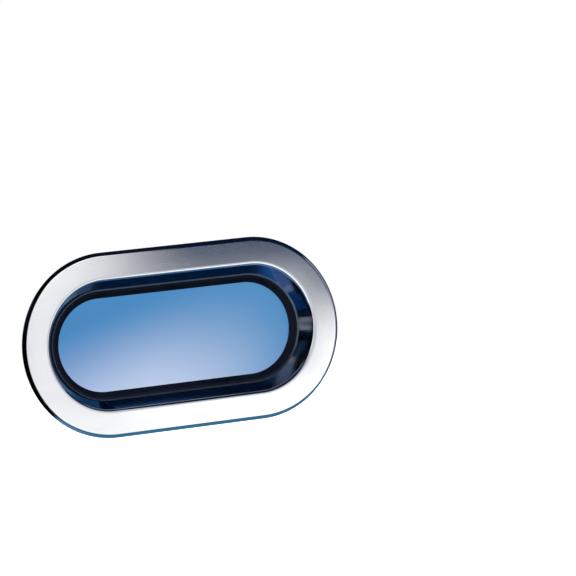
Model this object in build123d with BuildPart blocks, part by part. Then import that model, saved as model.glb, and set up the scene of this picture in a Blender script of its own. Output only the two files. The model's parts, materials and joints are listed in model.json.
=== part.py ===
"""Opening porthole for a boat's hull side, as its separate pieces.

The frame is +Z up and +X along the opening. The hull's outer face is the plane y = 0, the outside
of the boat is -Y and the cabin is +Y. The origin is the middle of the opening on the hull's outer
face. The sash is hinged along its lower edge, opens into the cabin and is held shut by two latches.
"""

import math
import os

from build123d import *

# Stadium outline: two half circles joined by straight runs
half_straight = 86.0

# Outer frame: front flange, sloping recess wall and rear flange, each a (radius, depth) of the section
flange_radius = 100.0
flange_face = -5.5
flange_back = -1.5
flange_root_chamfer = 3.0
flange_edge_width = 4.8
flange_edge_height = 3.5
lip_fillet = 3.0
lip_radius = 72.0
wall_foot_radius = 60.0
wall_foot_depth = 12.5
wall_thickness = 3.5
ledge_radius = 58.5
ledge_slope = 1.1
rear_flange_radius = 76.0
rear_flange_front = 13.0
rear_flange_back = 19.3
rear_flange_chamfer = 1.0
rebate_radius = 66.0
rebate_floor = 15.5

# Clamping to the hull
hull_thickness = 15.0
cutout_radius = 86.5
gasket_radius = 98.5
clamp_radius = 81.0
clamp_screws_per_quarter = 3
pillar_radius = 4.0
pillar_end = 12.5
clamp_tap_start = 2.0
trim_inner_radius = 77.0
trim_outer_radius = 91.5
trim_thickness = 4.0
trim_edge_width = 3.6
trim_edge_height = 2.8
trim_inner_fillet = 1.2

# Screws: M5 through the trim ring, M4 everywhere else
m5_shank = 2.5
m5_head = 4.6
m5_clearance = 2.8
m5_length = 14.0
m4_shank = 2.0
m4_head = 3.75
m4_clearance = 2.2
m4_tap_depth = 10.0
m4_fitting_head = 3.2
m4_fitting_length = 9.0
recess_length_ratio = 1.25
recess_width_ratio = 0.28
recess_depth_ratio = 0.45
seat_play = 0.05
head_sink = 0.2

# Seal and lens
seal_play = 0.2
seal_tip_radius = 50.0
seal_contact_radius = 56.0
seal_contact_chamfer = 0.5
seal_tip_rise = 0.8
seal_tip_flat = 1.0
seal_flank = [(1.6, 1.9), (5.4, 4.6), (5.7, 5.5)]
seal_edge_drop = 0.3
lens_front = 20.0
lens_thickness = 8.0
lens_radius = 68.0
lens_chamfer = 0.8

# Hardware on the lens, the same height above and below the middle
hardware_x = 60.0
hardware_z = 60.0
plate_screw_offset = 12.0
plate_half_length = 17.0
plate_half_width = 7.0
plate_corner = 3.0
plate_thickness = 2.5
pad_thickness = 0.5
pad_margin = 0.6

# Hinges
hinge_y = 27.5
hinge_z = -72.5
barrel_radius = 3.5
hinge_pin_radius = 2.0
pin_play = 0.05
leaf_knuckle_half = 5.2
washer_thickness = 0.5
washer_play = 0.05
bracket_knuckle_end = 12.8
bracket_half_length = 22.0
bracket_screw_offset = 17.5
pin_head_radius = 2.9
pin_head_thickness = 1.2
pin_overhang = 0.8
pin_chamfer = 0.4
pin_head_fillet = 0.5
washer_inset = 0.1
leaf_arm_overlap = 1.0
leaf_edge_fillet = 0.8

# Fittings on the rear flange: hinge brackets below, keepers above
fitting_thickness = 3.0
fitting_half_width = 3.5
fitting_z = 72.5
fitting_corner = 2.0

# Latches
cam_thickness = 3.0
cam_hub_radius = 8.0
cam_reach = 15.5
cam_tongue_half = 4.5
cam_square = 9.0
cam_corner = 2.0
cam_lead_in = 0.8
square_play = 0.05
stack_play = 0.05
latch_washer_thickness = 0.5
latch_washer_radius = 7.0
spindle_radius = 3.0
spindle_head_radius = 5.2
spindle_head_thickness = 1.5
spindle_play = 0.05
lever_hub_radius = 8.0
lever_hub_height = 9.0
lever_arm_height = 5.0
lever_reach = 40.0
lever_root_radius = 6.6
lever_tip_radius = 5.2
lever_pocket_radius = 6.0
lever_pocket_depth = 3.4
lever_round = 1.4
cap_thickness = 1.4
cap_crown = 0.4

# Keepers: a post beside the cam with a lip over its tongue, open on the centre side
keeper_inner_end = 20.0
keeper_outer_end = 22.0
keeper_inner_screw = 15.0
keeper_outer_screw = 17.5
keeper_post_start = 7.5
keeper_post_end = 12.5
keeper_lip_start = 6.0
keeper_lip_thickness = 2.5
keeper_gap = 0.25
keeper_ramp = 1.2
keeper_corner = 1.8

# Depths of the latch stack, worked out from the lens inwards
lens_back = lens_front + lens_thickness
plate_front = lens_back + pad_thickness
plate_back = plate_front + plate_thickness
latch_washer_back = plate_back + latch_washer_thickness
cam_front = latch_washer_back + stack_play
cam_back = cam_front + cam_thickness
lever_front = cam_back
lever_back = lever_front + lever_hub_height
spindle_seat = lever_back - lever_pocket_depth
keeper_lip_front = cam_back + keeper_gap
keeper_lip_back = keeper_lip_front + keeper_lip_thickness
fitting_back = rear_flange_back + fitting_thickness

hanging = (Align.CENTER, Align.CENTER, Align.MAX)
sides = (("left", -1), ("right", 1))
end_axis = Axis((half_straight, 0, 0), (0, 1, 0))
section_plane = Plane(origin=(half_straight, 0, 0), x_dir=(0, 0, 1), z_dir=(-1, 0, 0))

os.makedirs("parts", exist_ok=True)


def facing(depth):
    """Plane at this depth behind the hull's face, drawn as seen from outside; it extrudes outwards."""
    return Plane.XZ.offset(-depth)


def outer_spots(points, depth):
    """Places at (x, z) points on the plane at this depth, whose tools reach in towards the cabin."""
    return [facing(depth).location * Location((x, z, 0)) for x, z in points]


def inner_spots(points, depth):
    """Places at (x, z) points on the plane at this depth, whose tools reach out towards the sea."""
    cabin_side = Plane(origin=(0, depth, 0), x_dir=(-1, 0, 0), z_dir=(0, 1, 0))
    return [cabin_side.location * Location((-x, z, 0)) for x, z in points]


def carry_round(section):
    """Carry the drawn section round the stadium: a quarter turn, half a run and their mirror images."""
    revolve(axis=end_axis, revolution_arc=90)
    extrude(section, amount=half_straight)
    mirror(about=Plane.XY)
    mirror(about=Plane.YZ)


def countersunk_screws(spots, head_radius, shank_radius, length):
    """Flat-headed cross-recess screws with their heads flush at the spots."""
    recess_length = recess_length_ratio * head_radius
    recess_width = recess_width_ratio * head_radius
    recess_depth = recess_depth_ratio * head_radius
    with Locations(spots):
        Cylinder(shank_radius, length, align=hanging)
        Cone(shank_radius, head_radius, head_radius - shank_radius, align=hanging)
    with Locations(spots):
        Box(recess_length, recess_width, recess_depth, align=hanging, mode=Mode.SUBTRACT)
        Box(recess_width, recess_length, recess_depth, align=hanging, mode=Mode.SUBTRACT)


def countersunk_seats(spots, head_radius, hole_radius, depth):
    """Countersunk clearance holes for such screws."""
    with Locations(spots):
        CounterSinkHole(hole_radius, head_radius + seat_play, depth, counter_sink_angle=90)


def straight_holes(spots, radius, depth):
    """Plain drilled or tapped holes."""
    with Locations(spots):
        Hole(radius, depth)


def quarter_station(distance):
    """Point on the clamping line this far from its top middle, going right."""
    if distance <= half_straight:
        return distance, clamp_radius
    angle = (distance - half_straight) / clamp_radius
    return half_straight + clamp_radius * math.sin(angle), clamp_radius * math.cos(angle)


quarter_length = half_straight + clamp_radius * math.pi / 2
clamp_pitch = quarter_length / clamp_screws_per_quarter
quarter_points = [quarter_station((i + 0.5) * clamp_pitch) for i in range(clamp_screws_per_quarter)]
clamp_points = [(u * x, v * z) for u in (-1, 1) for v in (-1, 1) for x, z in quarter_points]


def screw_pair(centre_x, z, offset_low, offset_high):
    """Two screw points either side of a fitting's centre."""
    return [(centre_x - offset_low, z), (centre_x + offset_high, z)]


def keeper_points(sign):
    """A keeper's two screws: the nearer one on the centre side, the other beyond the post."""
    centre = sign * hardware_x
    return [(centre - sign * keeper_inner_screw, fitting_z), (centre + sign * keeper_outer_screw, fitting_z)]


bracket_points = [
    point
    for side, sign in sides
    for point in screw_pair(sign * hardware_x, -fitting_z, bracket_screw_offset, bracket_screw_offset)
]
all_keeper_points = keeper_points(-1) + keeper_points(1)
leaf_points = [
    point
    for side, sign in sides
    for point in screw_pair(sign * hardware_x, -hardware_z, plate_screw_offset, plate_screw_offset)
]
base_points = [(x, -z) for x, z in leaf_points]


# Outer frame: one stainless casting with tapped pillars behind the front flange
lip_centre_depth = flange_face + lip_fillet
wall_run = math.hypot(lip_radius - wall_foot_radius, wall_foot_depth - lip_centre_depth)
wall_lean = math.atan2(lip_radius - wall_foot_radius, wall_foot_depth - lip_centre_depth)
wall_angle = wall_lean - math.asin(lip_fillet / wall_run)
lip_end_radius = lip_radius - lip_fillet * math.cos(wall_angle)
lip_end_depth = lip_centre_depth - lip_fillet * math.sin(wall_angle)
outer_wall_shift = wall_thickness / math.cos(wall_angle)


def wall_back_radius(depth):
    """Radius of the back of the recess wall at this depth."""
    return wall_foot_radius + outer_wall_shift + (wall_foot_depth - depth) * math.tan(wall_angle)


lip_middle_angle = math.pi / 4 + wall_angle / 2
lip_middle = (
    lip_radius - lip_fillet * math.cos(lip_middle_angle),
    lip_centre_depth - lip_fillet * math.sin(lip_middle_angle),
)
flange_flat_radius = flange_radius - flange_edge_width
flange_root = flange_back + flange_root_chamfer

with BuildPart() as outer_frame:
    with BuildSketch(section_plane) as frame_section:
        with BuildLine():
            Line((flange_radius, flange_back), (flange_radius, flange_face + flange_edge_height))
            EllipticalCenterArc(
                (flange_flat_radius, flange_face + flange_edge_height),
                flange_edge_width,
                flange_edge_height,
                start_angle=-90,
                arc_size=90,
            )
            Line((flange_flat_radius, flange_face), (lip_radius, flange_face))
            ThreePointArc((lip_radius, flange_face), lip_middle, (lip_end_radius, lip_end_depth))
            Polyline(
                (lip_end_radius, lip_end_depth),
                (wall_foot_radius, wall_foot_depth),
                (ledge_radius, wall_foot_depth + ledge_slope),
                (ledge_radius, rebate_floor),
                (rebate_radius, rebate_floor),
                (rebate_radius, rear_flange_back),
                (rear_flange_radius - rear_flange_chamfer, rear_flange_back),
                (rear_flange_radius, rear_flange_back - rear_flange_chamfer),
                (rear_flange_radius, rear_flange_front),
                (wall_back_radius(rear_flange_front), rear_flange_front),
                (wall_back_radius(flange_root), flange_root),
                (wall_back_radius(flange_root) + flange_root_chamfer, flange_back),
                (flange_radius, flange_back),
            )
        make_face()
    carry_round(frame_section.sketch)
    with BuildSketch(facing(pillar_end)):
        with Locations(clamp_points):
            Circle(pillar_radius)
    extrude(amount=pillar_end - flange_back)
    straight_holes(inner_spots(clamp_points, pillar_end), m5_shank, pillar_end - clamp_tap_start)
    straight_holes(inner_spots(bracket_points + all_keeper_points, rear_flange_back), m4_shank, m4_tap_depth)
outer_frame.part.label = "outer_frame"
export_step(outer_frame.part, "parts/outer_frame.step")

# Hull gasket: flat neoprene ring between the front flange and the hull
with BuildPart() as hull_gasket:
    with BuildSketch(facing(0)):
        SlotCenterToCenter(2 * half_straight, 2 * gasket_radius)
        SlotCenterToCenter(2 * half_straight, 2 * cutout_radius, mode=Mode.SUBTRACT)
    extrude(amount=-flange_back)
hull_gasket.part.label = "hull_gasket"
export_step(hull_gasket.part, "parts/hull_gasket.step")

# Lens seal: rubber moulding in the frame's rebate, with a stepped flank that runs down to the lens
seal_contact = lens_front - seal_play
seal_flank_points = [(seal_tip_radius + out, seal_contact - rise) for out, rise in seal_flank]
with BuildPart() as lens_seal:
    with BuildSketch(section_plane) as seal_section:
        with BuildLine():
            Polyline(
                *seal_flank_points,
                (ledge_radius, wall_foot_depth + ledge_slope + seal_edge_drop),
                (ledge_radius, rebate_floor),
                (rebate_radius, rebate_floor),
                (rebate_radius, rear_flange_back),
                (seal_contact_radius + seal_contact_chamfer, rear_flange_back),
                (seal_contact_radius, seal_contact),
                (seal_tip_radius + seal_tip_flat, seal_contact),
            )
            ThreePointArc(
                (seal_tip_radius + seal_tip_flat, seal_contact),
                (seal_tip_radius, seal_contact - seal_tip_rise),
                seal_flank_points[0],
            )
        make_face()
    carry_round(seal_section.sketch)
lens_seal.part.label = "lens_seal"
export_step(lens_seal.part, "parts/lens_seal.step")

# Interior trim ring: clamps on the cabin side of the hull
trim_back = hull_thickness + trim_thickness
with BuildPart() as interior_trim_ring:
    with BuildSketch(section_plane) as trim_section:
        with BuildLine():
            Line((trim_inner_radius, hull_thickness), (trim_outer_radius, hull_thickness))
            Line((trim_outer_radius, hull_thickness), (trim_outer_radius, trim_back - trim_edge_height))
            EllipticalCenterArc(
                (trim_outer_radius - trim_edge_width, trim_back - trim_edge_height),
                trim_edge_width,
                trim_edge_height,
                start_angle=0,
                arc_size=90,
            )
            Line(
                (trim_outer_radius - trim_edge_width, trim_back),
                (trim_inner_radius + trim_inner_fillet, trim_back),
            )
            RadiusArc(
                (trim_inner_radius + trim_inner_fillet, trim_back),
                (trim_inner_radius, trim_back - trim_inner_fillet),
                -trim_inner_fillet,
            )
            Line((trim_inner_radius, trim_back - trim_inner_fillet), (trim_inner_radius, hull_thickness))
        make_face()
    carry_round(trim_section.sketch)
    countersunk_seats(inner_spots(clamp_points, trim_back), m5_head, m5_clearance, 2 * trim_thickness)
interior_trim_ring.part.label = "interior_trim_ring"
export_step(interior_trim_ring.part, "parts/interior_trim_ring.step")

# Trim ring screws: M5, through the ring into the frame's pillars
with BuildPart() as trim_ring_screws:
    countersunk_screws(inner_spots(clamp_points, trim_back), m5_head, m5_shank, m5_length)
trim_ring_screws.part.label = "trim_ring_screws"
export_step(trim_ring_screws.part, "parts/trim_ring_screws.step")

# Lens: tinted acrylic, drilled for the hinge leaves and latch bases, heads sunk in its outer face
with BuildPart() as lens:
    with BuildSketch(facing(lens_back)):
        SlotCenterToCenter(2 * half_straight, 2 * lens_radius)
    extrude(amount=lens_thickness)
    chamfer(lens.faces().filter_by(Axis.Y).edges(), lens_chamfer)
    countersunk_seats(
        outer_spots(leaf_points + base_points, lens_front), m4_head + head_sink, m4_clearance, lens_thickness
    )
lens.part.label = "lens"
export_step(lens.part, "parts/lens.step")

# Hinge brackets on the rear flange: a base, two outer knuckles and a web under each
knuckle_inner = leaf_knuckle_half + washer_thickness + 2 * washer_play
knuckle_middle = (knuckle_inner + bracket_knuckle_end) / 2
knuckle_length = bracket_knuckle_end - knuckle_inner
for side, sign in sides:
    centre = sign * hardware_x
    knuckle_places = [(centre - knuckle_middle, hinge_z), (centre + knuckle_middle, hinge_z)]
    with BuildPart() as hinge_bracket:
        with BuildSketch(facing(fitting_back)):
            with Locations((centre, -fitting_z)):
                RectangleRounded(2 * bracket_half_length, 2 * fitting_half_width, fitting_corner)
        extrude(amount=fitting_thickness)
        with BuildSketch(facing(hinge_y)):
            with Locations(knuckle_places):
                Rectangle(knuckle_length, 2 * barrel_radius)
        extrude(amount=hinge_y - fitting_back)
        with Locations([(x, hinge_y, z) for x, z in knuckle_places]):
            Cylinder(barrel_radius, knuckle_length, rotation=(0, 90, 0))
        with Locations((centre, hinge_y, hinge_z)):
            Cylinder(hinge_pin_radius, 4 * bracket_knuckle_end, rotation=(0, 90, 0), mode=Mode.SUBTRACT)
        seats = inner_spots(
            screw_pair(centre, -fitting_z, bracket_screw_offset, bracket_screw_offset), fitting_back
        )
        countersunk_seats(seats, m4_fitting_head, m4_clearance, 2 * fitting_thickness)
    hinge_bracket.part.label = f"hinge_bracket_{side}"
    export_step(hinge_bracket.part, f"parts/hinge_bracket_{side}.step")

# Hinge bracket screws: M4 into the rear flange
with BuildPart() as hinge_bracket_screws:
    bracket_screw_spots = inner_spots(bracket_points, fitting_back)
    countersunk_screws(bracket_screw_spots, m4_fitting_head, m4_shank, m4_fitting_length)
hinge_bracket_screws.part.label = "hinge_bracket_screws"
export_step(hinge_bracket_screws.part, "parts/hinge_bracket_screws.step")

# Hinge pins: pressed into the bracket's knuckles, with a flat head on the outboard end
pin_length = 2 * bracket_knuckle_end + pin_overhang
for side, sign in sides:
    centre = sign * hardware_x
    with BuildPart() as hinge_pin:
        with Locations((centre - sign * pin_overhang / 2, hinge_y, hinge_z)):
            Cylinder(hinge_pin_radius, pin_length, rotation=(0, 90, 0))
        chamfer(hinge_pin.edges().sort_by(Axis.X)[0 if sign > 0 else -1], pin_chamfer)
        with Locations((centre + sign * (bracket_knuckle_end + pin_head_thickness / 2), hinge_y, hinge_z)):
            Cylinder(pin_head_radius, pin_head_thickness, rotation=(0, 90, 0))
        fillet(hinge_pin.edges().sort_by(Axis.X)[-1 if sign > 0 else 0], pin_head_fillet)
    hinge_pin.part.label = f"hinge_pin_{side}"
    export_step(hinge_pin.part, f"parts/hinge_pin_{side}.step")

# Hinge washers: friction discs between the knuckles, two on each pin
washer_offset = leaf_knuckle_half + washer_play + washer_thickness / 2
washer_places = [
    (sign * hardware_x + step * washer_offset, hinge_y, hinge_z) for side, sign in sides for step in (-1, 1)
]
with BuildPart() as hinge_washers:
    with Locations(washer_places):
        Cylinder(barrel_radius - washer_inset, washer_thickness, rotation=(0, 90, 0))
        Cylinder(
            hinge_pin_radius + pin_play, 2 * washer_thickness, rotation=(0, 90, 0), mode=Mode.SUBTRACT
        )
hinge_washers.part.label = "hinge_washers"
export_step(hinge_washers.part, "parts/hinge_washers.step")

# Hinge leaves: a plate on the lens with an arm and a middle knuckle below its edge
for side, sign in sides:
    centre = sign * hardware_x
    arm_top = -hardware_z - plate_half_width + leaf_arm_overlap
    with BuildPart() as hinge_leaf:
        with BuildSketch(facing(plate_back)):
            with Locations((centre, -hardware_z)):
                RectangleRounded(2 * plate_half_length, 2 * plate_half_width, plate_corner)
            with Locations((centre, (arm_top + hinge_z) / 2)):
                Rectangle(2 * leaf_knuckle_half, arm_top - hinge_z)
        extrude(amount=plate_thickness)
        leaf_edges = hinge_leaf.faces().sort_by(Axis.Y)[-1].edges().filter_by(Axis.X)
        fillet(leaf_edges.sort_by(Axis.Z)[-1], leaf_edge_fillet)
        with Locations((centre, hinge_y, hinge_z)):
            Cylinder(barrel_radius, 2 * leaf_knuckle_half, rotation=(0, 90, 0))
        with Locations((centre, hinge_y, hinge_z)):
            Cylinder(
                hinge_pin_radius + pin_play, 4 * leaf_knuckle_half, rotation=(0, 90, 0), mode=Mode.SUBTRACT
            )
        leaf_holes = screw_pair(centre, -hardware_z, plate_screw_offset, plate_screw_offset)
        straight_holes(outer_spots(leaf_holes, plate_front), m4_shank, 2 * plate_thickness)
    hinge_leaf.part.label = f"hinge_leaf_{side}"
    export_step(hinge_leaf.part, f"parts/hinge_leaf_{side}.step")

# Latch bases: a plate on the lens that carries the latch's spindle
for side, sign in sides:
    centre = sign * hardware_x
    with BuildPart() as latch_base:
        with BuildSketch(facing(plate_back)):
            with Locations((centre, hardware_z)):
                RectangleRounded(2 * plate_half_length, 2 * plate_half_width, plate_corner)
        extrude(amount=plate_thickness)
        base_holes = screw_pair(centre, hardware_z, plate_screw_offset, plate_screw_offset)
        straight_holes(outer_spots(base_holes, plate_front), m4_shank, 2 * plate_thickness)
        straight_holes(outer_spots([(centre, hardware_z)], plate_front), spindle_radius, 2 * plate_thickness)
    latch_base.part.label = f"latch_base_{side}"
    export_step(latch_base.part, f"parts/latch_base_{side}.step")

# Pads between the lens and the plates, so that the plates don't mark the acrylic
for name, height, points in (
    ("hinge_leaf_pads", -hardware_z, leaf_points),
    ("latch_base_pads", hardware_z, base_points),
):
    with BuildPart() as plate_pads:
        with BuildSketch(facing(plate_front)):
            with Locations([(sign * hardware_x, height) for side, sign in sides]):
                RectangleRounded(
                    2 * (plate_half_length - pad_margin),
                    2 * (plate_half_width - pad_margin),
                    plate_corner - pad_margin,
                )
            with Locations(points):
                Circle(m4_clearance, mode=Mode.SUBTRACT)
        extrude(amount=pad_thickness)
    plate_pads.part.label = name
    export_step(plate_pads.part, f"parts/{name}.step")

# Lens screws: M4, from the outer face of the lens into the leaves and bases, behind the frame's rim
lens_screw_length = plate_back - lens_front - head_sink
for name, points in (("hinge_leaf_screws", leaf_points), ("latch_base_screws", base_points)):
    with BuildPart() as lens_screws:
        countersunk_screws(
            outer_spots(points, lens_front + head_sink), m4_head, m4_shank, lens_screw_length
        )
    lens_screws.part.label = name
    export_step(lens_screws.part, f"parts/{name}.step")

# Latch spindles: shoulder studs riveted into the bases, with a wide flat head in the lever's pocket
for side, sign in sides:
    place = [(sign * hardware_x, hardware_z)]
    with BuildPart() as latch_spindle:
        with Locations(inner_spots(place, spindle_seat + stack_play)):
            Cylinder(spindle_radius, spindle_seat + stack_play - plate_front, align=hanging)
        with Locations(inner_spots(place, spindle_seat + stack_play + spindle_head_thickness)):
            Cylinder(spindle_head_radius, spindle_head_thickness, align=hanging)
    latch_spindle.part.label = f"latch_spindle_{side}"
    export_step(latch_spindle.part, f"parts/latch_spindle_{side}.step")

# Latch washers: low-friction discs between base and cam
latch_places = [(sign * hardware_x, hardware_z) for side, sign in sides]
with BuildPart() as latch_washers:
    with BuildSketch(facing(latch_washer_back)):
        with Locations(latch_places):
            Circle(latch_washer_radius)
            Circle(spindle_radius + spindle_play, mode=Mode.SUBTRACT)
    extrude(amount=latch_washer_thickness)
latch_washers.part.label = "latch_washers"
export_step(latch_washers.part, "parts/latch_washers.step")

# Latch cams: a hub with a square hole and a tongue that turns up behind the keeper's lip
for side, sign in sides:
    centre = sign * hardware_x
    with BuildPart() as latch_cam:
        with BuildSketch(facing(cam_back)):
            with Locations((centre, hardware_z)):
                Circle(cam_hub_radius)
            with Locations((centre, hardware_z + cam_reach / 2)):
                Rectangle(2 * cam_tongue_half, cam_reach)
            with Locations((centre, hardware_z)):
                Rectangle(cam_square, cam_square, mode=Mode.SUBTRACT)
        extrude(amount=cam_thickness)
        fillet(latch_cam.edges().filter_by(Axis.Y).group_by(Axis.Z)[-1], cam_corner)
        cam_edges = latch_cam.faces().sort_by(Axis.Y)[-1].edges().filter_by(Axis.X)
        chamfer(cam_edges.sort_by(Axis.Z)[-1], cam_lead_in)
    latch_cam.part.label = f"latch_cam_{side}"
    export_step(latch_cam.part, f"parts/latch_cam_{side}.step")

# Latch levers: a hub with a square boss through the cam, and a finger arm towards the middle
for side, sign in sides:
    centre = sign * hardware_x
    hub = [(centre, hardware_z)]
    with BuildPart() as latch_lever:
        with BuildSketch(facing(lever_back)):
            with Locations(hub):
                Circle(lever_hub_radius)
        extrude(amount=lever_hub_height)
        with BuildSketch(facing(lever_back)):
            with Locations(hub):
                Circle(lever_root_radius)
            with Locations((centre - sign * lever_reach, hardware_z)):
                Circle(lever_tip_radius)
            make_hull()
        extrude(amount=lever_arm_height)
        fillet(latch_lever.faces().sort_by(Axis.Y)[-1].outer_wire().edges(), lever_round)
        with BuildSketch(facing(lever_front)):
            with Locations(hub):
                Rectangle(cam_square - 2 * square_play, cam_square - 2 * square_play)
        extrude(amount=cam_thickness)
        straight_holes(inner_spots(hub, lever_back), lever_pocket_radius, lever_pocket_depth)
        straight_holes(inner_spots(hub, lever_back), spindle_radius + spindle_play, 3 * lever_hub_height)
    latch_lever.part.label = f"latch_lever_{side}"
    export_step(latch_lever.part, f"parts/latch_lever_{side}.step")

# Spindle caps: crowned discs snapped into the lever's pocket over the spindle's head
for side, sign in sides:
    place = [(sign * hardware_x, hardware_z)]
    with BuildPart() as spindle_cap:
        with Locations(inner_spots(place, lever_back + cap_crown)):
            Cylinder(lever_pocket_radius, cap_thickness, align=hanging)
        fillet(spindle_cap.edges().sort_by(Axis.Y)[-1], cap_crown)
    spindle_cap.part.label = f"spindle_cap_{side}"
    export_step(spindle_cap.part, f"parts/spindle_cap_{side}.step")

# Keepers on the rear flange: base, post and a lip with a lead-in ramp on its centre side
for side, sign in sides:
    centre = sign * hardware_x
    inner_end = centre - sign * keeper_inner_end
    outer_end = centre + sign * keeper_outer_end
    lip_inner = centre - sign * keeper_lip_start
    post_inner = centre + sign * keeper_post_start
    post_outer = centre + sign * keeper_post_end
    with BuildPart() as keeper:
        with BuildSketch(facing(fitting_back)):
            with Locations(((inner_end + outer_end) / 2, fitting_z)):
                RectangleRounded(abs(outer_end - inner_end), 2 * fitting_half_width, fitting_corner)
        extrude(amount=fitting_thickness)
        with BuildSketch(facing(keeper_lip_back)):
            with Locations(((post_inner + post_outer) / 2, fitting_z)):
                Rectangle(abs(post_outer - post_inner), 2 * fitting_half_width)
        extrude(amount=keeper_lip_back - fitting_back)
        with BuildSketch(facing(keeper_lip_back)):
            with Locations(((lip_inner + post_outer) / 2, fitting_z)):
                Rectangle(abs(post_outer - lip_inner), 2 * fitting_half_width)
        extrude(amount=keeper_lip_thickness)
        lip_edges = keeper.edges().filter_by(Axis.Z).sort_by(Axis.X)
        ramp_edges = lip_edges.filter_by_position(
            Axis.X, lip_inner - 0.1, lip_inner + 0.1
        ).sort_by(Axis.Y)
        chamfer(ramp_edges[0], keeper_ramp)
        post_edges = keeper.edges().filter_by(Axis.Z).filter_by_position(
            Axis.X, post_outer - 0.1, post_outer + 0.1
        )
        fillet(post_edges.sort_by(Axis.Y)[-1], keeper_corner)
        keeper_seats = inner_spots(keeper_points(sign), fitting_back)
        countersunk_seats(keeper_seats, m4_fitting_head, m4_clearance, 2 * fitting_thickness)
    keeper.part.label = f"keeper_{side}"
    export_step(keeper.part, f"parts/keeper_{side}.step")

# Keeper screws: M4 into the rear flange
with BuildPart() as keeper_screws:
    keeper_screw_spots = inner_spots(all_keeper_points, fitting_back)
    countersunk_screws(keeper_screw_spots, m4_fitting_head, m4_shank, m4_fitting_length)
keeper_screws.part.label = "keeper_screws"
export_step(keeper_screws.part, "parts/keeper_screws.step")
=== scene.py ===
"""Opening porthole: its looks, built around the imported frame. Metres, +Z up, -Y outside the boat."""
import json
import math

import bmesh
import bpy
from mathutils import Matrix, Vector


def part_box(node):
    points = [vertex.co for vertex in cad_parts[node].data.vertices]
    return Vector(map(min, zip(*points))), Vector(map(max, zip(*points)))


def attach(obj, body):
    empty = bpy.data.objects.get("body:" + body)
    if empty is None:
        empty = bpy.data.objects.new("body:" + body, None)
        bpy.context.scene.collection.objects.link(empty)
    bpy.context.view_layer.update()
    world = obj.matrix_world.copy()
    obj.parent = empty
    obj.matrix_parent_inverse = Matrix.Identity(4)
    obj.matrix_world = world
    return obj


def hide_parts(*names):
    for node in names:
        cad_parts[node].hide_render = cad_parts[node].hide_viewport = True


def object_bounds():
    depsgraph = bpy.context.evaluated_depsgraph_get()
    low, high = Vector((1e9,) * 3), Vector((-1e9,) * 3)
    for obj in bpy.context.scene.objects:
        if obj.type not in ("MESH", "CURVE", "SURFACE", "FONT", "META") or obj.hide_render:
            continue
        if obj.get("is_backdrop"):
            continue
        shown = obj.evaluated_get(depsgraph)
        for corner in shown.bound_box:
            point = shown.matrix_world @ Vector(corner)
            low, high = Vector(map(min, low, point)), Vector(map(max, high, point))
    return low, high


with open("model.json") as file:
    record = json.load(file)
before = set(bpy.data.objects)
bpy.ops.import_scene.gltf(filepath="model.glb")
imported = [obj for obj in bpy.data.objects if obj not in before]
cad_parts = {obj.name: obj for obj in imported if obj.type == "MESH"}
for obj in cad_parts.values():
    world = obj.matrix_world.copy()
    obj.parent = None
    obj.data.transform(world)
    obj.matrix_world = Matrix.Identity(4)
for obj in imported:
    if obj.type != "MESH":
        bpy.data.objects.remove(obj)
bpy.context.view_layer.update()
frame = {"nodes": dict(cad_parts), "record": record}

mm = 0.001

# Driving dimensions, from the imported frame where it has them
frame_low, frame_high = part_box("outer_frame")
flange_radius = frame_high.z
half_straight = frame_high.x - frame_high.z
face_y = frame_low.y
rear_y = frame_high.y
lens_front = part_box("lens")[0].y
seal_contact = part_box("lens_seal")[1].y
gasket_low, gasket_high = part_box("hull_gasket")

node_body = {n: body for body, names in frame["record"]["behaviour"]["bodies"].items() for n in names}


# ---------------------------------------------------------------- materials

class Nodes:
    """A node tree that ends in one surface, with short calls to add and join nodes."""

    def __init__(self, tree, surface, output="ShaderNodeOutputMaterial", coordinates="Object"):
        self.tree = tree
        self.tree.nodes.clear()
        self.surface = self.node(surface)
        self.join(self.surface.outputs[0], self.node(output).inputs["Surface"])
        self.place = self.node("ShaderNodeTexCoord").outputs[coordinates]

    def node(self, kind, **settings):
        made = self.tree.nodes.new(kind)
        for key, value in settings.items():
            setattr(made, key, value)
        return made

    def join(self, source, target):
        self.tree.links.new(source, target)

    def map_range(self, value, from_low, from_high, to_low, to_high, **settings):
        """Maps a value from one range to another."""
        made = self.node("ShaderNodeMapRange", **settings)
        limits = {"From Min": from_low, "From Max": from_high, "To Min": to_low, "To Max": to_high}
        for key, number in limits.items():
            made.inputs[key].default_value = number
        self.join(value, made.inputs["Value"])
        return made.outputs["Result"]

    def blend_colours(self, share, first, second):
        """A blend of two colours, of which the first may be another node's output."""
        made = self.node("ShaderNodeMix", data_type="RGBA")
        if isinstance(first, tuple):
            made.inputs["A"].default_value = (*first, 1)
        else:
            self.join(first, made.inputs["A"])
        made.inputs["B"].default_value = (*second, 1)
        self.join(share, made.inputs["Factor"])
        return made.outputs["Result"]


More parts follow.
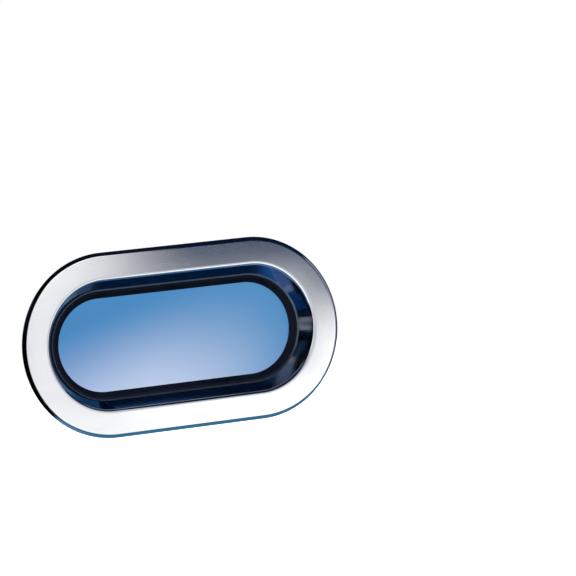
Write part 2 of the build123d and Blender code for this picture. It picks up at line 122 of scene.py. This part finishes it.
class Shader(Nodes):
    """A new material whose surface noise textures vary."""

    def __init__(self, name):
        self.material = bpy.data.materials.new(name)
        self.material.use_nodes = True
        super().__init__(self.material.node_tree, "ShaderNodeBsdfPrincipled")

    def fixed(self, **values):
        """Sets values that are the same all over on the surface shader's own sockets."""
        for key, value in values.items():
            self.surface.inputs[key.replace("_", " ")].default_value = value

    def stretched(self, scale):
        """Object coordinates scaled per axis, so a texture can run along one of them."""
        mapping = self.node("ShaderNodeMapping")
        mapping.inputs["Scale"].default_value = scale
        self.join(self.place, mapping.inputs["Vector"])
        return mapping.outputs["Vector"]

    def noise(self, vector, scale, detail=3.0, roughness=0.5):
        made = self.node("ShaderNodeTexNoise")
        made.inputs["Scale"].default_value = scale
        made.inputs["Detail"].default_value = detail
        made.inputs["Roughness"].default_value = roughness
        self.join(vector, made.inputs["Vector"])
        return made.outputs["Fac"]

    def spread(self, value, low, high):
        """Maps the middle range of a texture to low..high."""
        return self.map_range(value, 0.3, 0.7, low, high)

    def mixed(self, first, second, share):
        """A blend of two texture values."""
        made = self.node("ShaderNodeMix")
        made.inputs["Factor"].default_value = share
        self.join(first, made.inputs["A"])
        self.join(second, made.inputs["B"])
        return made.outputs["Result"]

    def bump(self, height, strength, distance):
        made = self.node("ShaderNodeBump")
        made.inputs["Strength"].default_value = strength
        made.inputs["Distance"].default_value = distance
        self.join(height, made.inputs["Height"])
        return made.outputs["Normal"]

    def use(self, colour, roughness=None, normal=None):
        """Joins what varies to the surface and gives the finished material."""
        for source, name in ((colour, "Base Color"), (roughness, "Roughness"), (normal, "Normal")):
            if source is not None:
                self.join(source, self.surface.inputs[name])
        return self.material


def satin_steel(name, colour=(0.80, 0.81, 0.83), low=0.23, high=0.29, along=(6.0, 400.0, 400.0)):
    """Fine-brushed stainless steel: hairlines along one axis, cloudy variation and faint smears."""
    s = Shader(name)
    s.fixed(Metallic=1.0)
    lines = s.noise(s.stretched(along), 6.0, detail=4.0, roughness=0.6)
    clouds = s.noise(s.place, 9.0)
    smears = s.noise(s.stretched((9.0, 30.0, 30.0)), 2.0, detail=5.0, roughness=0.6)
    tint = s.blend_colours(s.spread(clouds, 0.0, 1.0), colour, tuple(c * 0.93 for c in colour))
    return s.use(tint, s.spread(s.mixed(lines, smears, 0.7), low, high))


def polished_steel(name, colour=(0.82, 0.83, 0.85), low=0.035, high=0.085):
    """Mirror-polished stainless steel with faint polishing haze and a slow cast waviness."""
    s = Shader(name)
    s.fixed(Metallic=1.0)
    haze = s.noise(s.place, 60.0, detail=5.0, roughness=0.6)
    waves = s.noise(s.place, 22.0, detail=1.0)
    tint = s.blend_colours(s.spread(haze, 0.0, 1.0), colour, tuple(c * 0.96 for c in colour))
    return s.use(tint, s.spread(haze, low, high), s.bump(waves, 0.06, 0.6 * mm))


def cast_steel(name):
    """Bead-blasted casting skin on the surfaces that the hull and the trim ring hide."""
    s = Shader(name)
    s.fixed(Metallic=1.0)
    grain = s.noise(s.place, 900.0)
    clouds = s.noise(s.place, 14.0, detail=4.0)
    tint = s.blend_colours(s.spread(clouds, 0.0, 1.0), (0.60, 0.60, 0.61), (0.50, 0.50, 0.52))
    return s.use(tint, s.spread(clouds, 0.42, 0.52), s.bump(grain, 0.25, 0.1 * mm))


def rubber(name, colour, low, high, grain_scale=700.0, grain=0.08, shine=0.5):
    """Black rubber with a fine skin texture and slight bloom."""
    s = Shader(name)
    s.fixed(Specular_IOR_Level=shine)
    skin = s.noise(s.place, grain_scale, detail=2.0)
    bloom = s.noise(s.place, 35.0, detail=5.0, roughness=0.6)
    tint = s.blend_colours(s.spread(bloom, 0.0, 1.0), colour, tuple(c * 1.8 + 0.002 for c in colour))
    return s.use(tint, s.spread(bloom, low, high), s.bump(skin, grain, 0.1 * mm))


def moulded_plastic(name, colour, low=0.36, high=0.48, grain=0.25, grain_scale=1100.0, mottle=0.04):
    """Injection-moulded plastic with a spark-eroded grain and faint mottling."""
    s = Shader(name)
    skin = s.noise(s.place, grain_scale, detail=2.0)
    mottles = s.noise(s.place, 160.0, detail=4.0, roughness=0.6)
    tint = s.blend_colours(s.spread(mottles, 0.0, 1.0), colour, tuple(c * (1 - mottle) for c in colour))
    return s.use(tint, s.spread(mottles, low, high), s.bump(skin, grain, 0.08 * mm))


def tinted_acrylic(name):
    """Clear blue acrylic with a polished face and faint cloudiness in the tint."""
    s = Shader(name)
    s.fixed(IOR=1.49, Transmission_Weight=1.0, Roughness=0.0)
    clouds = s.noise(s.place, 4.0, detail=1.0)
    return s.use(s.blend_colours(s.spread(clouds, 0.0, 1.0), (0.046, 0.235, 0.520), (0.036, 0.195, 0.490)))


finishes = {
    "satin": satin_steel("satin_flange"),
    "polished": polished_steel("polished_edges"),
    # Recess wall: the polished steel darkened to half, which is painted shade in the recess and dims the
    # glints it mirrors
    "wall": polished_steel("recess_wall_painted_shade", (0.41, 0.42, 0.45)),
    # Inner ledge: the satin steel darkened and tinted blue, which is painted shade with a painted bluish
    # reflection
    "ledge": satin_steel("inner_ledge_painted_shade", (0.26, 0.30, 0.36), 0.35, 0.45),
    "cast": cast_steel("blasted_casting"),
    "seal": rubber("seal_rubber", (0.003, 0.005, 0.012), 0.26, 0.38, shine=0.08),
    "gasket": rubber("neoprene", (0.020, 0.020, 0.022), 0.55, 0.7, grain_scale=900.0, grain=0.3),
    "pad": rubber("pad_rubber", (0.025, 0.025, 0.028), 0.5, 0.65),
    "acrylic": tinted_acrylic("blue_acrylic"),
    "trim": moulded_plastic("trim_plastic", (0.80, 0.80, 0.78)),
    "lever": moulded_plastic("lever_nylon", (0.17, 0.175, 0.19), 0.34, 0.46, 0.35, 800.0, mottle=0.16),
    "cap": moulded_plastic("cap_nylon", (0.10, 0.105, 0.12), 0.25, 0.33, 0.15),
    "washer": moulded_plastic("washer_nylon", (0.82, 0.82, 0.78), 0.4, 0.5, 0.1),
    "fitting": satin_steel("fitting_steel", (0.74, 0.75, 0.76), 0.20, 0.30, along=(10.0, 300.0, 300.0)),
    "screw": polished_steel("screw_steel", (0.76, 0.77, 0.78), 0.12, 0.22),
    "pin": polished_steel("pin_steel", (0.78, 0.79, 0.80), 0.08, 0.16),
}


# ---------------------------------------------------------------- mesh helpers

merge_distance = 2e-6


def new_object(name, mesh):
    made = bpy.data.objects.new(name, mesh)
    bpy.context.scene.collection.objects.link(made)
    return made


def mesh_object(name, bm, used_finishes):
    """Turns a bmesh into an object with these finishes as its materials."""
    mesh = bpy.data.meshes.new(name)
    bm.to_mesh(mesh)
    bm.free()
    for finish in used_finishes:
        mesh.materials.append(finishes[finish])
    return new_object(name, mesh)


def bmesh_of(node):
    """The CAD node's mesh as a bmesh, with the corners that its faces repeat merged."""
    bm = bmesh.new()
    bm.from_mesh(frame["nodes"][node].data)
    bmesh.ops.remove_doubles(bm, verts=bm.verts, dist=merge_distance)
    return bm


def apply_modifiers(obj):
    """Keeps the mesh that the modifiers make and drops the modifiers."""
    graph = bpy.context.evaluated_depsgraph_get()
    mesh = bpy.data.meshes.new_from_object(obj.evaluated_get(graph))
    obj.modifiers.clear()
    obj.data = mesh


def finish_mesh(obj, sharp_degrees):
    """Applies the modifiers, then shades smooth between sharp edges with flats kept flat."""
    apply_modifiers(obj)
    obj.data.shade_smooth()
    obj.data.set_sharp_from_angle(angle=math.radians(sharp_degrees))
    weighting = obj.modifiers.new("weighted", "WEIGHTED_NORMAL")
    weighting.mode = "FACE_AREA"
    weighting.weight = 100
    weighting.keep_sharp = True
    bpy.context.view_layer.update()
    apply_modifiers(obj)


def stand_for(obj, node):
    """A rebuilt piece stands for its CAD node, which it hides, and moves with its body."""
    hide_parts(node)
    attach(obj, node_body[node])


def edge_arc(centre, x_radius, y_radius, steps):
    """Points on the quarter of an ellipse that runs from straight outwards to straight forwards."""
    angles = [math.radians(-90.0 * i / steps) for i in range(steps + 1)]
    return [(centre[0] + x_radius * math.cos(a), centre[1] + y_radius * math.sin(a)) for a in angles]


def round_corner(before, corner, after, radius, steps):
    """The arc that rounds one corner of a section."""
    c = Vector(corner)
    to_before = (Vector(before) - c).normalized()
    to_after = (Vector(after) - c).normalized()
    half_angle = to_before.angle(to_after) / 2
    reach = radius / math.tan(half_angle)
    centre = c + (to_before + to_after).normalized() * (radius / math.sin(half_angle))
    first = c + to_before * reach - centre
    last = c + to_after * reach - centre
    points = []
    for i in range(steps + 1):
        t = i / steps
        direction = (first * (1 - t) + last * t).normalized()
        points.append(tuple(centre + direction * radius))
    return points


def section(corners, steps):
    """A closed section from (radius, depth, rounding, finish) corners; finish holds up to the next corner.

    A rounding is polished where the finish changes at it and either finish is a bright one.
    """
    bright = {"satin", "polished", "wall"}
    points, tags = [], []
    for i, (radius, depth, rounding, tag) in enumerate(corners):
        before = corners[i - 1]
        after = corners[(i + 1) % len(corners)]
        if rounding > 0:
            arc = round_corner(before[:2], (radius, depth), after[:2], rounding, steps)
        else:
            arc = [(radius, depth)]
        points += arc
        plain = before[3] == tag or not bright & {before[3], tag}
        tags += [tag if plain else "polished"] * (len(arc) - 1) + [tag]
    return points, tags


def stations(arc_steps, run_steps=6):
    """Places round the stadium: (x of the end's centre, outward x, outward z), once round."""
    places = []
    for sign, start in ((1, 90.0), (-1, -90.0)):
        for i in range(arc_steps + 1):
            angle = math.radians(start - 180.0 * i / arc_steps)
            places.append((sign * half_straight, math.cos(angle), math.sin(angle)))
        direction = math.sin(math.radians(start - 180.0))
        for i in range(1, run_steps):
            places.append((sign * half_straight * (1 - 2 * i / run_steps), 0.0, direction))
    return places


def sweep(name, corners, corner_steps, arc_steps):
    """Carries a closed section of (radius, depth) corners round the stadium as one closed mesh."""
    points, tags = section(corners, corner_steps)
    used = sorted(set(tags))
    bm = bmesh.new()
    rings = []
    for x, out_x, out_z in stations(arc_steps):
        rings.append([bm.verts.new((x + out_x * r, d, out_z * r)) for r, d in points])
    for i, ring in enumerate(rings):
        following = rings[(i + 1) % len(rings)]
        for j in range(len(points)):
            k = (j + 1) % len(points)
            face = bm.faces.new((ring[j], ring[k], following[k], following[j]))
            face.material_index = used.index(tags[j])
    bmesh.ops.recalc_face_normals(bm, faces=bm.faces)
    return mesh_object(name, bm, used)


def lathe(bm, profile, centre, steps=32):
    """Adds a closed turned solid about a line along Y through centre (x, z); profile ends on the axis."""
    x, z = centre
    turns = [2 * math.pi * i / steps for i in range(steps)]
    rings = []
    for r, y in profile:
        if r == 0:
            rings.append([bm.verts.new((x, y, z))])
        else:
            rings.append([bm.verts.new((x + r * math.cos(a), y, z + r * math.sin(a))) for a in turns])
    made = []
    for first, second in zip(rings, rings[1:]):
        for i in range(steps):
            j = (i + 1) % steps
            loop = [first[i % len(first)], first[j % len(first)]]
            loop += [second[j % len(second)], second[i % len(second)]]
            unique = list(dict.fromkeys(loop))
            if len(unique) > 2:
                made.append(bm.faces.new(unique))
    bmesh.ops.recalc_face_normals(bm, faces=made)


def islands(node):
    """Lowest and highest corner of each separate solid of a node."""
    bm = bmesh_of(node)
    seen, found = set(), []
    for start in bm.verts:
        if start in seen:
            continue
        stack, group = [start], []
        seen.add(start)
        while stack:
            vertex = stack.pop()
            group.append(vertex.co.copy())
            for e in vertex.link_edges:
                other = e.other_vert(vertex)
                if other not in seen:
                    seen.add(other)
                    stack.append(other)
        low = Vector(min(p[i] for p in group) for i in range(3))
        high = Vector(max(p[i] for p in group) for i in range(3))
        found.append((low, high))
    bm.free()
    return found


def refine(node, finish, rounding):
    """Puts a copy of a CAD node with its sharp edges rounded in the node's place."""
    flat_degrees, sharp_degrees = 0.4, 32.0
    bm = bmesh_of(node)
    bmesh.ops.dissolve_limit(
        bm,
        angle_limit=math.radians(flat_degrees),
        use_dissolve_boundaries=False,
        verts=bm.verts,
        edges=bm.edges,
    )
    bmesh.ops.recalc_face_normals(bm, faces=bm.faces)
    made = mesh_object(node + "_fine", bm, [finish])
    bevel = made.modifiers.new("edges", "BEVEL")
    bevel.width = rounding
    bevel.segments = 2
    bevel.limit_method = "ANGLE"
    bevel.angle_limit = math.radians(sharp_degrees)
    bevel.use_clamp_overlap = True
    finish_mesh(made, sharp_degrees)
    stand_for(made, node)


# ---------------------------------------------------------------- outer frame

# The section's places as (radius, depth), and its thicknesses
edge_width, edge_height = 4.8 * mm, 3.5 * mm
satin_edge = 0.4 * mm
flange_back = face_y + 4.0 * mm
lip_corner_radius = 70.264 * mm
lip_rounding = 5.0 * mm
lip_band = 3.4 * mm
wall_foot_radius, wall_foot_depth = 60.0 * mm, 12.5 * mm
wall_thickness = 3.5 * mm
ledge_radius = 58.5 * mm
ledge_drop = 1.35 * mm
rebate_radius, rebate_floor = 66.0 * mm, 15.5 * mm
rear_radius = 76.0 * mm
rear_front = 13.0 * mm

wall_slope = (lip_corner_radius - wall_foot_radius) / (wall_foot_depth - face_y)
wall_shift = wall_thickness / math.cos(math.atan(wall_slope))


def wall_back(depth):
    """Radius of the back of the recess wall at this depth."""
    return wall_foot_radius + wall_shift + (wall_foot_depth - depth) * wall_slope


edge = edge_arc((flange_radius - edge_width, face_y + edge_height), edge_width, edge_height, 14)
flat_radius = edge[-1][0]
frame_corners = [(flange_radius, flange_back, 0.0, "polished")]
frame_corners += [(r, d, 0.0, "polished") for r, d in edge[:-1]]
frame_corners += [
    (flat_radius, face_y, 0.0, "satin"),
    (flat_radius - satin_edge, face_y, 0.0, "satin"),
    (lip_corner_radius + lip_band, face_y, 0.0, "satin"),
    # The wall and ledge finishes are darkened copies of the steel, painted shade in the recess
    (lip_corner_radius, face_y, lip_rounding, "wall"),
    (wall_foot_radius, wall_foot_depth, 0.35 * mm, "ledge"),
    (ledge_radius, wall_foot_depth + ledge_drop, 0.15 * mm, "cast"),
    (ledge_radius, rebate_floor, 0.0, "cast"),
    (rebate_radius, rebate_floor, 0.3 * mm, "cast"),
    (rebate_radius, rear_y, 0.3 * mm, "cast"),
    (rear_radius, rear_y, 1.0 * mm, "cast"),
    (rear_radius, rear_front, 0.8 * mm, "cast"),
    (wall_back(rear_front), rear_front, 1.5 * mm, "cast"),
    (wall_back(flange_back), flange_back, 2.5 * mm, "cast"),
]
casting = sweep("frame_casting", frame_corners, 10, 96)

# Tapped pillars behind the flange, one in line with each trim ring screw
pillar_end = 12.5 * mm
pillar_radius = 4.0 * mm
pillar_chamfer = 0.4 * mm
pillar_root = flange_back - 0.2 * mm
tap_floor = 2.0 * mm
tap_radius = 2.5 * mm
tap_chamfer = 0.5 * mm
pillar_profile = [
    (0, tap_floor),
    (tap_radius, tap_floor),
    (tap_radius, pillar_end - tap_chamfer),
    (tap_radius + tap_chamfer, pillar_end),
    (pillar_radius - pillar_chamfer, pillar_end),
    (pillar_radius, pillar_end - pillar_chamfer),
    (pillar_radius, pillar_root),
    (0, pillar_root),
]
pillar_mesh = bmesh.new()
for low, high in islands("trim_ring_screws"):
    lathe(pillar_mesh, pillar_profile, ((low.x + high.x) / 2, (low.z + high.z) / 2))
pillars = mesh_object("frame_pillars", pillar_mesh, ["cast"])

finish_mesh(casting, 50.0)
finish_mesh(pillars, 40.0)
stand_for(casting, "outer_frame")
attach(pillars, node_body["outer_frame"])


# ---------------------------------------------------------------- seals

# The lens seal bears on the lens at its rounded tip and steps down from the ledge to it
tip = 50.0 * mm
seal_play = 0.02 * mm
rebate_play = 0.05 * mm
seal_corners = [
    (tip + 1.2 * mm, seal_contact, 0.5 * mm, "seal"),
    (tip, seal_contact - 0.9 * mm, 0.7 * mm, "seal"),
    (tip + 1.6 * mm, seal_contact - 1.9 * mm, 0.6 * mm, "seal"),
    (tip + 5.3 * mm, seal_contact - 4.55 * mm, 0.4 * mm, "seal"),
    (tip + 5.7 * mm, seal_contact - 5.5 * mm, 0.35 * mm, "seal"),
    (ledge_radius - rebate_play, wall_foot_depth + 1.5 * mm, 0.1 * mm, "seal"),
    (ledge_radius - seal_play, rebate_floor + seal_play, 0.0, "seal"),
    (rebate_radius - rebate_play, rebate_floor + seal_play, 0.2 * mm, "seal"),
    (rebate_radius - rebate_play, rear_y - seal_play, 0.3 * mm, "seal"),
    (tip + 6.6 * mm, rear_y - seal_play, 0.3 * mm, "seal"),
    (tip + 6.0 * mm, seal_contact, 0.3 * mm, "seal"),
]
seal = sweep("lens_seal_moulding", seal_corners, 6, 96)
finish_mesh(seal, 60.0)
stand_for(seal, "lens_seal")

gasket_hole_radius = 86.5 * mm
gasket_rounding = 0.25 * mm
gasket_corners = [
    (gasket_high.z, gasket_low.y, gasket_rounding, "gasket"),
    (gasket_hole_radius, gasket_low.y, gasket_rounding, "gasket"),
    (gasket_hole_radius, gasket_high.y, gasket_rounding, "gasket"),
    (gasket_high.z, gasket_high.y, gasket_rounding, "gasket"),
]
gasket = sweep("hull_gasket_sheet", gasket_corners, 4, 72)
finish_mesh(gasket, 60.0)
stand_for(gasket, "hull_gasket")


# ---------------------------------------------------------------- the other pieces

# Finish and rounding in mm; a piece without rounding keeps its CAD mesh
piece_looks = {
    "interior_trim_ring": ("trim", 0.0),
    "trim_ring_screws": ("screw", 0.12),
    "hinge_bracket_{side}": ("fitting", 0.35),
    "hinge_bracket_screws": ("screw", 0.1),
    "hinge_pin_{side}": ("pin", 0.0),
    "keeper_{side}": ("fitting", 0.35),
    "keeper_screws": ("screw", 0.1),
    "lens": ("acrylic", 0.0),
    "hinge_leaf_{side}": ("fitting", 0.3),
    "hinge_leaf_screws": ("screw", 0.12),
    "hinge_leaf_pads": ("pad", 0.0),
    "hinge_washers": ("washer", 0.0),
    "latch_base_{side}": ("fitting", 0.3),
    "latch_base_pads": ("pad", 0.0),
    "latch_base_screws": ("screw", 0.12),
    "latch_spindle_{side}": ("pin", 0.0),
    "latch_washers": ("washer", 0.0),
    "latch_lever_{side}": ("lever", 0.4),
    "latch_cam_{side}": ("fitting", 0.3),
    "spindle_cap_{side}": ("cap", 0.15),
}
for pattern, (finish, rounding) in piece_looks.items():
    for node in dict.fromkeys(pattern.format(side=side) for side in ("left", "right")):
        if rounding > 0:
            refine(node, finish, rounding * mm)
        else:
            for slot_place in frame["nodes"][node].material_slots:
                slot_place.material = finishes[finish]


# ---------------------------------------------------------------- camera

camera_yaw, camera_pitch, camera_roll = math.radians(24.52), math.radians(1.56), math.radians(5.79)
camera_distance, camera_right, camera_up = 3.6917, 0.1127, 0.0525
focal_ratio = 5.9144

turn = Matrix.Rotation(camera_roll, 3, "Z") @ Matrix.Rotation(camera_pitch, 3, "X")
turn = turn @ Matrix.Rotation(camera_yaw, 3, "Y")
face_to_row = Matrix(((1, 0, 0), (0, 0, -1), (0, 1, 0)))
aim = face_to_row @ turn.transposed()
eye = aim @ Vector((camera_right, camera_up, camera_distance)) + Vector((0, face_y, 0))
camera_data = bpy.data.cameras.new("camera")
camera_data.sensor_width = 36.0
camera_data.lens = camera_data.sensor_width * focal_ratio
camera_data.clip_end = 100.0
camera = new_object("camera", camera_data)
camera.matrix_world = Matrix.Translation(eye) @ aim.to_4x4()
bpy.context.scene.camera = camera


# ---------------------------------------------------------------- stage

black = (0.0, 0.0, 0.0)
near_black = (0.006, 0.007, 0.012)
navy = (0.004, 0.006, 0.022)
white = (1.0, 1.0, 1.0)


class Light(Nodes):
    """A light whose colour is built from soft-edged zones of a position or a direction."""

    def __init__(self, tree, surface="ShaderNodeEmission", *ends):
        super().__init__(tree, surface, *ends)
        self.surface.inputs["Strength"].default_value = 1.0
        self.split = self.node("ShaderNodeSeparateXYZ")
        self.join(self.place, self.split.inputs[0])

    def ramp(self, axis, start, stop):
        """0 at start, 1 at stop along one axis, eased at both ends."""
        low, high, first, last = (start, stop, 0.0, 1.0) if start < stop else (stop, start, 1.0, 0.0)
        value = self.split.outputs[axis]
        return self.map_range(value, low, high, first, last, interpolation_type="SMOOTHSTEP")

    def zone(self, *ramps):
        """Where all of these ramps, each (axis, start, stop), are at 1."""
        result = self.ramp(*ramps[0])
        for ramp in ramps[1:]:
            made = self.node("ShaderNodeMath", operation="MULTIPLY")
            self.join(result, made.inputs[0])
            self.join(self.ramp(*ramp), made.inputs[1])
            result = made.outputs[0]
        return result

    def lay(self, ground, *layers):
        """Lays (colour, ramp, ramp...) layers over a ground colour, each in its zone."""
        self.surface.inputs["Color"].default_value = (*ground, 1)
        tone = ground
        for colour, *ramps in layers:
            tone = self.blend_colours(self.zone(*ramps), tone, colour)
        if layers:
            self.join(tone, self.surface.inputs["Color"])


def card_material(name, ground, *layers):
    """A material that glows in a ground colour with soft-edged layers over it."""
    material = bpy.data.materials.new(name)
    material.use_nodes = True
    Light(material.node_tree).lay(ground, *layers)
    return material


def stage_object(name, mesh, material, camera_rays=False, glossy=False, transmission=False):
    """A piece of the stage that only the named kinds of ray meet."""
    mesh.materials.append(material)
    made = new_object(name, mesh)
    made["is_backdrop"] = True
    made.visible_camera = camera_rays
    made.visible_glossy = glossy
    made.visible_transmission = transmission
    made.visible_diffuse = False
    made.visible_shadow = False
    made.visible_volume_scatter = False
    return made


def flat_mesh(name, corners):
    mesh = bpy.data.meshes.new(name)
    mesh.from_pydata(corners, [], [(0, 1, 2, 3)])
    return mesh


def centred_mesh(name, width, height):
    """A flat rectangle about its own origin."""
    w, h = width / 2, height / 2
    return flat_mesh(name, [(-w, -h, 0), (w, -h, 0), (w, h, 0), (-w, h, 0)])


def facing(place, normal, up):
    """A matrix that puts a rectangle at a place, with its Z along normal and its Y nearest up."""
    z = Vector(normal).normalized()
    x = Vector(up).cross(z).normalized()
    return Matrix.Translation(place) @ Matrix((x, z.cross(x), z)).transposed().to_4x4()


# White surround, seen directly but never mirrored
surround_radius = 12.0
bm = bmesh.new()
bmesh.ops.create_icosphere(bm, subdivisions=4, radius=surround_radius)
surround_mesh = bpy.data.meshes.new("surround")
bm.to_mesh(surround_mesh)
bm.free()
stage_object("surround", surround_mesh, card_material("surround", white), camera_rays=True)

# Pale floor below the lowest reach of the open sash
floor_z = -0.17
floor_size = 6.0
floor_shader = Shader("pale_floor")
floor_shader.fixed(Emission_Color=(*white, 1), Emission_Strength=0.97)
grain = floor_shader.noise(floor_shader.place, 40.0)
floor_tint = floor_shader.blend_colours(
    floor_shader.spread(grain, 0.0, 1.0), (0.92, 0.92, 0.93), (0.9, 0.9, 0.91)
)
floor_material = floor_shader.use(floor_tint, floor_shader.spread(grain, 0.6, 0.7))
floor_mesh = centred_mesh("floor", floor_size, floor_size)
floor = stage_object("floor", floor_mesh, floor_material, camera_rays=True)
floor.matrix_world = facing((0, 0, floor_z), (0, 0, 1), up=(0, 1, 0))

# Cards for the metal and the lens to mirror, drawn in the frame's own coordinates. Mirrored rays meet
# them, but the cards behind the porthole are met only through the lens
side_left, side_right = -0.235, 0.33
level_left, level_right = -0.26, 0.40
upright_reach = 0.2
front_y = face_y - 0.20
front_top = 0.20
upper_z, lower_z = 0.145, -0.135


def card(name, corners, ground, *layers):
    """A card that only mirrored rays meet."""
    stage_object(name, flat_mesh(name, corners), card_material(name, ground, *layers), glossy=True)


def back_card(name, corners, ground, *layers):
    """A card that only rays through the lens meet."""
    stage_object(name, flat_mesh(name, corners), card_material(name, ground, *layers), transmission=True)


def level(y_start, y_stop, z):
    """Corners of a level card above or below the porthole."""
    corners = ((level_left, y_start), (level_right, y_start), (level_right, y_stop), (level_left, y_stop))
    return [(x, y, z) for x, y in corners]


def upright(x, y_start, y_stop):
    """Corners of an upright card beside the porthole."""
    low, high = -upright_reach, upright_reach
    return [(x, y_start, low), (x, y_stop, low), (x, y_stop, high), (x, y_start, high)]


# Graded front card: dim above on the right, brightest below, black at its left end, and grey where
# the lens mirrors it
lens_zone = (("X", -0.066, -0.056), ("X", 0.254, 0.244), ("Z", -0.074, -0.067), ("Z", 0.063, 0.055))
card(
    "front_card",
    [
        (side_left, front_y, lower_z),
        (side_right, front_y, lower_z),
        (side_right, front_y, front_top),
        (side_left, front_y, front_top),
    ],
    (1.24, 1.23, 1.23),
    ((0.0, 0.025, 0.085), ("Z", -0.015, 0.042), ("X", -0.055, 0.10)),
    ((1.75, 1.74, 1.71), ("Z", 0.01, -0.07), ("X", -0.09, 0.12)),
    (black, ("X", -0.107, -0.16)),
    ((0.66, 0.68, 0.72), *lens_zone),
)

# Warm glow far behind on the camera's line of sight, which turns the lower middle of the blue lens
# nearly white
glow_start = Vector((-0.035, lens_front, -0.052))
glow_reach = 2.2
glow_width, glow_height = 1.2, 0.8
sight = (glow_start - eye).normalized()
glow_material = card_material(
    "glow_card",
    (1.1, 1.06, 1.03),
    ((15.5, 3.35, 1.8), ("X", -0.42, -0.06), ("X", 0.31, -0.04), ("Y", 0.155, -0.04)),
)
glow_mesh = centred_mesh("glow_card", glow_width, glow_height)
glow_card = stage_object("glow_card", glow_mesh, glow_material, transmission=True)
glow_card.matrix_world = facing(glow_start + sight * glow_reach, -sight, up=(-0.3, 0, 1))

# Black card on the left, which the outer edge mirrors
card("left_card", upright(side_left, -0.27, 0.04), black, ((0.004, 0.006, 0.01), ("Z", 0, 0.1)))

# Dark card on the right with one pale strip
card(
    "right_card",
    upright(side_right, -0.2, 0.04),
    near_black,
    ((0.34, 0.33, 0.50), ("Y", -0.20, -0.18), ("Y", -0.07, -0.09)),
)

# Navy card above that turns black on the left, and one behind with a warm patch, which the recess
# shows through the lens
card("upper_card", level(-0.2, 0.1, upper_z), navy, (black, ("X", 0, -0.2)))
back_card(
    "upper_back_card",
    level(0.03, 0.165, upper_z),
    navy,
    ((0.9, 0.5, 0.5), ("Y", 0.03, 0.05), ("Y", 0.115, 0.111), ("X", 0.16, 0.06)),
)

# Sea-blue card below that turns pale in front and black at its left end, and one behind that goes
# from blue to navy, which the recess shows through the lens
card(
    "lower_card",
    level(-0.2, 0.05, lower_z),
    (0.045, 0.19, 0.34),
    ((0.006, 0.03, 0.07), ("Y", -0.055, -0.085)),
    ((0.12, 0.27, 0.50), ("X", -0.10, -0.15), ("Y", -0.07, -0.04)),
    ((0.62, 0.76, 0.84), ("Y", -0.09, -0.15), ("X", -0.16, -0.13)),
    (black, ("X", -0.175, -0.20)),
)
back_card(
    "lower_back_card",
    level(0.02, 0.165, lower_z),
    (0.25, 0.55, 1.0),
    ((0.024, 0.042, 0.088), ("Y", 0.075, 0.105)),
)


# ---------------------------------------------------------------- world and lights

# What the polished metal mirrors past the cards, and what the lens shows, by direction
world = bpy.data.worlds.new("studio")
bpy.context.scene.world = world
world.use_nodes = True
sky = Light(world.node_tree, "ShaderNodeBackground", "ShaderNodeOutputWorld", "Generated")
sky.lay(
    (0.22, 0.23, 0.27),
    ((0.42, 0.45, 0.52), ("Z", 0.3, 0.8)),
    ((0.16, 0.22, 0.30), ("Z", -0.3, -0.8)),
    (white, ("Y", -0.3, -0.8), ("X", -0.42, -0.15), ("Z", 0.30, 0.0)),
    (white, ("Y", 0.55, 0.75), ("Z", -0.50, -0.35), ("Z", 0.50, 0.35)),
)


def area_light(name, place, size, power):
    """A square white light that faces the porthole and is never mirrored or seen."""
    data = bpy.data.lights.new(name, "AREA")
    data.shape = "RECTANGLE"
    data.size = size
    data.size_y = size
    data.energy = power
    made = new_object(name, data)
    turned = Vector(place).to_track_quat("Z", "Y")
    made.matrix_world = Matrix.Translation(place) @ turned.to_matrix().to_4x4()
    made.visible_camera = False
    made.visible_glossy = False
    made.visible_transmission = False


area_light("key", (-1.2, -1.6, 1.8), 1.2, 30)
area_light("back_fill", (1.0, 1.8, 1.6), 1.4, 30)
area_light("back_side", (-1.8, 1.2, 0.6), 1.0, 12)

bpy.context.scene.view_settings.view_transform = "Standard"

low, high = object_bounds()
